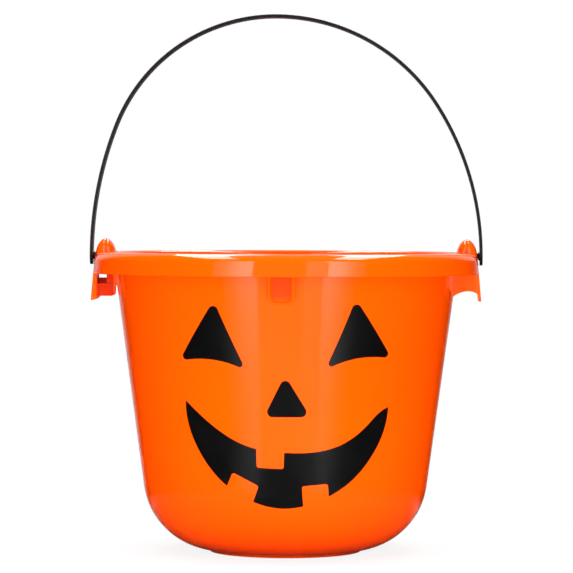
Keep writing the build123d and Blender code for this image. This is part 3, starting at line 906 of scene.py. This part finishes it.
SKIN = (0.3, 0.0004)            # strength and depth of the pail's skin, and of the ink on it
STRAP_SKIN = (0.25, 0.00012)
CALM = (0.004, 0.002)           # below the top of the rim, where the skin turns calm
CALMER = 0.88
SKIRT_SHADE = 0.0006            # soft edge of the shade painted in under the skirt
WALL_SHADE = (-0.00015, -0.00005)   # at the wall, in square metres
POCKET_SHADE = 0.0016           # at a lug's ribs
POCKET_FADE = 0.004             # at a lug's foot
WEB_SHADE = (0.0004, 0.0012)    # from the wall outwards
TAB_SHADE = (0.0006, 0.0002)    # from a tab inwards
MIDDLE = (-0.001, 0.001)        # from the left ear's side to the right one's
# Share of the painted shade on the right webs
RIGHT_PAINTED_SHADE = 0.3


def maths(operation, reflected=False):
    """A method that adds a Math node."""
    def method(self, other):
        first, second = (other, self) if reflected else (self, other)
        return self.works.node("ShaderNodeMath", {"operation": operation}, {0: first, 1: second})
    return method


class Feed:
    """An output of a node; sums on it add Math nodes."""

    def __init__(self, works, socket):
        self.works = works
        self.socket = socket

    __add__, __radd__ = maths("ADD"), maths("ADD", True)
    __sub__, __rsub__ = maths("SUBTRACT"), maths("SUBTRACT", True)
    __mul__, __rmul__ = maths("MULTIPLY"), maths("MULTIPLY", True)


class Works:
    """The nodes of one material, of a lamp or of the world."""

    def __init__(self, owner):
        owner.use_nodes = True
        self.owner = owner
        self.tree = owner.node_tree
        self.tree.nodes.clear()

    def node(self, kind, settings=None, sockets=None, output=0):
        """Add a node: its settings first, then the values or links of its sockets."""
        node = self.tree.nodes.new(kind)
        for name, value in (settings or {}).items():
            setattr(node, name, value)
        for name, value in (sockets or {}).items():
            if isinstance(value, Feed):
                self.tree.links.new(value.socket, node.inputs[name])
            else:
                node.inputs[name].default_value = value
        return Feed(self, node.outputs[output]) if len(node.outputs) else None

    def place(self):
        """Where a point is on its piece."""
        return self.node("ShaderNodeTexCoord", output="Object")

    def axes(self, vector, names):
        """Parts of a vector."""
        sockets = {"Vector": vector}
        return [self.node("ShaderNodeSeparateXYZ", None, sockets, name) for name in names]

    def noise(self, place, scale, detail):
        """Even cloudy noise from 0 to 1."""
        sockets = {"Vector": place, "Scale": scale, "Detail": detail}
        return self.node("ShaderNodeTexNoise", None, sockets)

    def blend(self, factor, first, second):
        """A colour between two colours."""
        sockets = {0: factor, 6: first, 7: second}
        return self.node("ShaderNodeMix", {"data_type": "RGBA"}, sockets, 2)

    def seen_rays(self, mirrored):
        """Camera rays, with a share of the rays that gloss and clear pieces send on."""
        camera = self.node("ShaderNodeLightPath", output="Is Camera Ray")
        if not mirrored:
            return camera
        glossy = self.node("ShaderNodeLightPath", output="Is Glossy Ray")
        through = self.node("ShaderNodeLightPath", output="Is Transmission Ray")
        return camera + (glossy + through) * mirrored

    def step(self, value, low, high):
        """A soft step from 0 to 1 between two values."""
        return self.node(
            "ShaderNodeMapRange", {"interpolation_type": "SMOOTHSTEP"},
            {"Value": value, "From Min": low, "From Max": high},
        )

    def moulded(self, pigment, roughness, ior, skin, height):
        """The material, finished with one shader and a bumpy skin."""
        bumps = {"Strength": skin[0], "Distance": skin[1], "Height": height}
        surface = self.node("ShaderNodeBsdfPrincipled", None, {
            "Base Color": pigment, "Roughness": roughness, "IOR": ior,
            "Normal": self.node("ShaderNodeBump", None, bumps),
        })
        self.node("ShaderNodeOutputMaterial", None, {"Surface": surface})
        return self.owner


def opaque(pigment):
    """A colour with full alpha."""
    return (*pigment, 1.0)


def grey(shade):
    """A grey with full alpha."""
    return (shade, shade, shade, 1.0)


def painted_shade_places(works, place, lines, lugs):
    """Where shade is painted in under the skirt: in the lugs' pockets and right webs, then, darker,
    in the left webs.
    """
    x, y, z = works.axes(place, "XYZ")
    foot = lines.skirt_foot
    below_skirt = 1 - works.step(z, foot - SKIRT_SHADE, foot)
    wall = lines.pail.foot_of_wall + z * tan(lines.taper)
    outside = works.step(x * x + y * y - wall * wall, *WALL_SHADE)
    side = lugs.width / 2 - lugs.rib
    lug_foot = lines.pail.height - lugs.drop + lugs.rib
    pocket = 1 - works.step(x * x, (side - POCKET_SHADE) ** 2, side ** 2)
    pocket = pocket * works.step(z, lug_foot, lug_foot + POCKET_FADE)
    wall_end = lines.wall_radius(foot)
    tab = lines.pail.rim_radius - lines.pail.wall
    web = works.step(x * x, *((wall_end + shade) ** 2 for shade in WEB_SHADE))
    inside_tab = 1 - works.step(x * x + y * y, *((tab - shade) ** 2 for shade in TAB_SHADE))
    left = 1 - works.step(x, *MIDDLE)
    web = web * inside_tab * below_skirt
    return pocket * outside * below_skirt + web * (1 - left) * RIGHT_PAINTED_SHADE, web * left


def orange_plastic(finishes, lines, lugs):
    """Glossy injection-moulded plastic: pigment drift, shade painted in under the skirt, a rippled
    skin and fine orange peel.
    """
    works = Works(bpy.data.materials.new("orange_plastic"))
    place = works.place()
    drift = works.noise(place, DRIFT, 2.0)
    fleck = works.noise(place, FLECK, 3.0)
    ripple = works.noise(place, RIPPLE, 1.0)
    peel = works.noise(place, PEEL, 2.0)
    pigment = works.blend(
        drift * 0.7 + fleck * 0.3, opaque(finishes.orange_deep), opaque(finishes.orange),
    )
    # Painted shade: more red in the lugs' pockets and on the right webs
    painted_red_shade, painted_dark_shade = painted_shade_places(works, place, lines, lugs)
    pigment = works.blend(painted_red_shade, pigment, opaque(finishes.orange_thin))
    # Painted shade: darker on the left webs
    pigment = works.blend(painted_dark_shade, pigment, opaque(finishes.orange_shade))
    height, = works.axes(place, "Z")
    calm = works.step(height, *(lines.pail.height - drop for drop in CALM))
    return works.moulded(
        pigment, finishes.orange_rough - 0.02 + drift * 0.03 + fleck * 0.01, finishes.orange_ior,
        SKIN, (ripple * 0.5 + peel * 0.02) * (1.0 - calm * CALMER),
    )


def black_ink(finishes):
    """Printed ink: a near-black film with small pores, as glossy as the wall under it."""
    works = Works(bpy.data.materials.new("black_ink"))
    place = works.place()
    cloud = works.noise(place, INK_CLOUD, 3.0)
    pores = works.noise(place, PORES, 2.0)
    ripple = works.noise(place, RIPPLE, 1.0)
    thin = works.step(pores * 0.6 + cloud * 0.4, 0.5, 0.8)
    return works.moulded(
        works.blend(thin, opaque(finishes.ink), opaque(finishes.ink_thin)),
        finishes.ink_rough - 0.04 + cloud * 0.05 + pores * 0.04, finishes.ink_ior,
        SKIN, ripple * 0.5 + pores * 0.03,
    )


def black_plastic(finishes):
    """Black strap plastic: a satin skin with a fine grain and faint handling marks."""
    works = Works(bpy.data.materials.new("black_plastic"))
    place = works.place()
    cloud = works.noise(place, STRAP_CLOUD, 3.0)
    grain = works.noise(place, GRAIN, 3.0)
    worn = cloud * 0.6 + grain * 0.4
    return works.moulded(
        works.blend(worn, opaque(finishes.strap), opaque(finishes.strap_worn)),
        finishes.strap_rough - 0.06 + cloud * 0.08 + grain * 0.05, finishes.strap_ior,
        STRAP_SKIN, grain * 0.5 + cloud * 0.5,
    )


# Stage

WHITE = grey(1.0)
FLOOR_RADIUS = 0.19
FLOOR_THICKNESS = 0.004
FLOOR_SIDES = 128
FLOOR_PALE = 0.95           # floor as the light sees it
FLOOR_DULL = (0.015, 0.22)  # floor as gloss sees it, in front of and behind the pail
FLOOR_BACK = (0.01, 0.1)    # behind the axis, from the first shade to the second
FLOOR_ROUND = (0.1, 0.18)   # round the axis, from the second back to the first
FLOOR_WHITE = 0.88          # plain white in the floor as the camera sees it
FLOOR_IN_GLOSS = 0.02       # share of that white in what gloss shows

# Where the surroundings begin and are full, as parts of a line of sight one unit long
RAISED = (0.04, 0.2)
RIGHT = (0.0, 0.25)
BACKDROP = (0.8, 0.93)
FRONT = (0.72, 0.88)
HORIZON = (-0.1, 0.25)
ZENITH = (0.88, 0.97)
BACKDROP_LEAN = 0.5
BACKDROP_CUT = 0.07         # taken off the backdrop's right side
BACKDROP_GAIN = 0.5         # added to its upper part
ABOVE_HORIZON = 0.75        # taken off the fill above the horizon

# Softboxes in front: azimuth, width, brightness, share left at the dim side, bright side
SOFTBOXES = {
    "left": (-28.5, 0.48, 1.0, 0.17, "right"),
    "right": (36.0, 0.46, 1.05, 0.12, "left"),
    "slim": (18.5, 0.24, 0.24, 1.0, "right"),
}
SOFTBOX_DISTANCE = 1.2
SOFTBOX_MIDDLE = 0.15
SOFTBOX_HEIGHT = 1.5
SOFTBOX_FOOT = (0.2, 0.42)  # of its height
SOFTBOX_SIDE = (0.1, 0.85)  # of its width
OVERHEAD_ASIDE = 0.4        # to the side of the axis and behind it
OVERHEAD_HEIGHT = 1.17
OVERHEAD_SIZE = (0.3, 1.9)
OVERHEAD_TURN = radians(11)
WATTS = 4                   # that a square metre of lamp takes for a brightness of 1
SENSOR = 36.0               # millimetres
NEAREST = 0.01              # nearest that the camera sees


def lamp(name, place, facing, width, height, brightness):
    """A rectangular softbox that faces a point."""
    lay_aside()
    way = Vector(facing) - Vector(place)
    turned = way.to_track_quat("-Z", "Y").to_euler()
    bpy.ops.object.light_add(type="AREA", location=place, rotation=turned)
    softbox = bpy.context.object
    softbox.name = name
    softbox.data.name = name
    softbox.data.shape = "RECTANGLE"
    softbox.data.size = width
    softbox.data.size_y = height
    softbox.data.energy = brightness * WATTS * width * height
    return softbox


def shade_off(softbox, foot, dim, bright_side):
    """Dim a softbox at its foot and at one side, as the pail sees it."""
    works = Works(softbox.data)
    spot = works.node("ShaderNodeNewGeometry", output="Parametric")
    across, up = works.axes(spot, "XY")
    across = across if bright_side == "right" else 1 - across
    upright = foot + works.step(up, *SOFTBOX_FOOT) * (1 - foot)
    sideways = dim + works.step(across, *SOFTBOX_SIDE) * (1 - dim)
    glow = works.node("ShaderNodeEmission", None, {"Strength": upright * sideways})
    works.node("ShaderNodeOutputLight", None, {"Surface": glow})


# Operators

class CANDYPAIL_OT_moulding(bpy.types.Operator):
    """Model the pail moulding: turned shell, tabs, ears, webs and stacking lugs"""

    bl_idname = "candy_pail.moulding"
    bl_label = "Pail Moulding"

    def execute(self, context):
        settings = context.scene.candy_pail
        lines = PailLines(settings)
        pail = turned_shell(lines)
        mould_in(pail, ear_domes(lines, "ear_domes", 0.0, False), "UNION")
        mould_in(pail, ear_domes(lines, "ear_hollows", lines.pail.wall, True), "DIFFERENCE")
        fittings = [arched_webs(lines), windowed_webs(lines), stacking_lugs(settings.lugs, lines)]
        mould_in(pail, gather(fittings), "UNION")
        mould_in(pail, stud_holes(lines), "DIFFERENCE")
        clear_slivers(pail)
        plastic = orange_plastic(settings.finishes, lines, settings.lugs)
        finish_piece(pail, plastic, "orange_plastic", "pail", "pail_body")
        return {"FINISHED"}


class CANDYPAIL_OT_handle(bpy.types.Operator):
    """Model the strap handle: two spun halves, round ends and snap studs"""

    bl_idname = "candy_pail.handle"
    bl_label = "Strap Handle"

    def execute(self, context):
        settings = context.scene.candy_pail
        lines = PailLines(settings)
        handle = settings.handle
        crown = (-handle.lean, 0.0, lines.pivot + lines.half_span + handle.lift)
        half_width = handle.width / 2
        half_thick = handle.thickness / 2
        ring = eased([
            (-half_width, -half_thick, handle.edge), (half_width, -half_thick, handle.edge),
            (half_width, half_thick, handle.edge), (-half_width, half_thick, handle.edge),
        ], EDGE_STEPS)
        section = [(crown[0], y, crown[2] + z) for y, z in ring + ring[:1]]
        strap = draw_line("strap_handle", section)
        close_up()
        for side in (1, -1):
            strap_half(strap, lines, crown, side)
        close_up()
        mould_in(strap, snap_studs(lines), "UNION")
        take_up(strap)
        pivot = (0, 0, lines.pivot)
        bpy.ops.transform.rotate(value=handle.tilt, orient_axis="X", center_override=pivot)
        plastic = black_plastic(settings.finishes)
        finish_piece(strap, plastic, "black_plastic", "handle", "handle_strap")
        return {"FINISHED"}


class CANDYPAIL_OT_face(bpy.types.Operator):
    """Give the four prints of the face their ink"""

    bl_idname = "candy_pail.face"
    bl_label = "Printed Face"

    def execute(self, context):
        material = black_ink(context.scene.candy_pail.finishes)
        for name in PRINTS:
            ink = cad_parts[name]
            ink.data.materials.clear()
            ink.data.materials.append(material)
        return {"FINISHED"}


class CANDYPAIL_OT_stage(bpy.types.Operator):
    """Lay the floor, set the light and the camera"""

    bl_idname = "candy_pail.stage"
    bl_label = "Stage"

    def execute(self, context):
        studio = context.scene.candy_pail.studio
        self.floor()
        self.surround(context.scene, studio)
        self.softboxes(studio)
        self.camera(context.scene, studio)
        context.scene.view_settings.view_transform = "Standard"
        return {"FINISHED"}

    def floor(self):
        """A round pale floor that holds the pail's shadow."""
        lay_aside()
        bpy.ops.mesh.primitive_circle_add(
            vertices=FLOOR_SIDES, radius=FLOOR_RADIUS, fill_type="NGON",
        )
        floor = named("floor")
        push_out((0, 0, -FLOOR_THICKNESS))
        pick_all()
        bpy.ops.mesh.normals_make_consistent(inside=False)
        lay_aside()
        works = Works(bpy.data.materials.new("floor"))
        mirrored = works.seen_rays(1.0) - works.seen_rays(0.0)
        pale = works.node("ShaderNodeBsdfDiffuse", None, {"Color": grey(FLOOR_PALE)})
        x, y = works.axes(works.place(), "XY")
        fade = works.step(x * x + y * y, *(radius ** 2 for radius in FLOOR_ROUND))
        back = works.step(y, *FLOOR_BACK) * (1.0 - fade)
        shades = works.blend(back, *(grey(shade) for shade in FLOOR_DULL))
        dull = works.node("ShaderNodeBsdfDiffuse", None, {"Color": shades})
        lit = works.node("ShaderNodeMixShader", None, {0: mirrored, 1: pale, 2: dull})
        white = works.node("ShaderNodeEmission", None, {"Color": WHITE, "Strength": 1.0})
        seen = works.seen_rays(FLOOR_IN_GLOSS) * FLOOR_WHITE
        mixed = works.node("ShaderNodeMixShader", None, {0: seen, 1: lit, 2: white})
        works.node("ShaderNodeOutputMaterial", None, {"Surface": mixed})
        floor.data.materials.append(works.owner)

    def surround(self, scene, studio):
        """A white backdrop to the camera, a wide diffuser in front and an even fill."""
        scene.world = bpy.data.worlds.new("studio")
        works = Works(scene.world)
        way = works.node("ShaderNodeTexCoord", output="Generated")
        across, depth, height = works.axes(way, "XYZ")
        raised = works.step(height, *RAISED)
        darker_right = works.step(across, *RIGHT) * (1.0 - raised) * BACKDROP_CUT
        behind = works.step(depth + height * BACKDROP_LEAN - darker_right, *BACKDROP)
        behind = behind * (1.0 + raised * BACKDROP_GAIN)
        front = works.step(0.0 - depth, *FRONT)
        seen = works.seen_rays(0.0)
        mirrored = works.seen_rays(1.0) - seen
        gloss = behind * studio.gloss_back + front * studio.gloss_front
        fill = studio.fill_round + front * (studio.fill_front - studio.fill_round)
        fill = fill * (1.0 - works.step(height, *HORIZON) * ABOVE_HORIZON)
        fill = fill + works.step(height, *ZENITH) * studio.fill_top
        strength = seen + mirrored * gloss + (1.0 - seen - mirrored) * fill
        sky = works.node("ShaderNodeBackground", None, {"Color": WHITE, "Strength": strength})
        works.node("ShaderNodeOutputWorld", None, {"Surface": sky})
        scene.world.cycles.sampling_method = "NONE"

    def softboxes(self, studio):
        """Two tall softboxes and a slim one in front, two long ones overhead."""
        middle = (0, 0, SOFTBOX_MIDDLE)
        for name, (degrees, width, brightness, dim, bright_side) in SOFTBOXES.items():
            azimuth = radians(degrees)
            place = (
                SOFTBOX_DISTANCE * sin(azimuth), -SOFTBOX_DISTANCE * cos(azimuth), SOFTBOX_MIDDLE,
            )
            brightness *= studio.softbox
            softbox = lamp(f"{name}_softbox", place, middle, width, SOFTBOX_HEIGHT, brightness)
            shade_off(softbox, studio.softbox_foot, dim, bright_side)
        for name, side in (("left", -1), ("right", 1)):
            below = (side * OVERHEAD_ASIDE, OVERHEAD_ASIDE, 0)
            place = (*below[:2], OVERHEAD_HEIGHT)
            over = lamp(f"{name}_overhead", place, below, *OVERHEAD_SIZE, studio.overhead)
            over.rotation_euler.rotate_axis("Z", side * OVERHEAD_TURN)
            over.visible_diffuse = False

    def camera(self, scene, studio):
        """The photograph's camera."""
        lay_aside()
        azimuth = studio.camera_azimuth
        place = (
            studio.camera_distance * sin(azimuth),
            -studio.camera_distance * cos(azimuth),
            studio.camera_height,
        )
        turned = (pi / 2 - studio.camera_pitch, 0, azimuth)
        bpy.ops.object.camera_add(location=place, rotation=turned)
        camera = bpy.context.object
        camera.rotation_euler.rotate_axis("Z", studio.camera_roll)
        camera.data.lens = studio.camera_lens
        camera.data.sensor_width = SENSOR
        camera.data.shift_x = studio.frame_shift
        camera.data.shift_y = studio.frame_shift
        camera.data.clip_start = NEAREST
        scene.camera = camera


class CANDYPAIL_PT_sidebar(bpy.types.Panel):
    """Lists the operators and their settings"""

    bl_label = "Candy Pail"
    bl_idname = "CANDYPAIL_PT_sidebar"
    bl_space_type = "VIEW_3D"
    bl_region_type = "UI"
    bl_category = "Candy Pail"

    def draw(self, context):
        for operator in OPERATORS:
            self.layout.operator(operator.bl_idname)
        settings = context.scene.candy_pail
        for key, kind in zip(CandyPailSettings.__annotations__, GROUPS):
            box = self.layout.box()
            box.label(text=settings.bl_rna.properties[key].name)
            for name in kind.__annotations__:
                box.prop(getattr(settings, key), name)


OPERATORS = (CANDYPAIL_OT_moulding, CANDYPAIL_OT_handle, CANDYPAIL_OT_face, CANDYPAIL_OT_stage)
CLASSES = (*GROUPS, CandyPailSettings, *OPERATORS, CANDYPAIL_PT_sidebar)


def register():
    for kind in CLASSES:
        bpy.utils.register_class(kind)
    bpy.types.Scene.candy_pail = bpy.props.PointerProperty(type=CandyPailSettings)


def unregister():
    del bpy.types.Scene.candy_pail
    for kind in reversed(CLASSES):
        bpy.utils.unregister_class(kind)


def main():
    register()
    bpy.ops.candy_pail.moulding()
    bpy.ops.candy_pail.handle()
    bpy.ops.candy_pail.face()
    bpy.ops.candy_pail.stage()
    lay_aside()


if __name__ == "__main__":
    main()
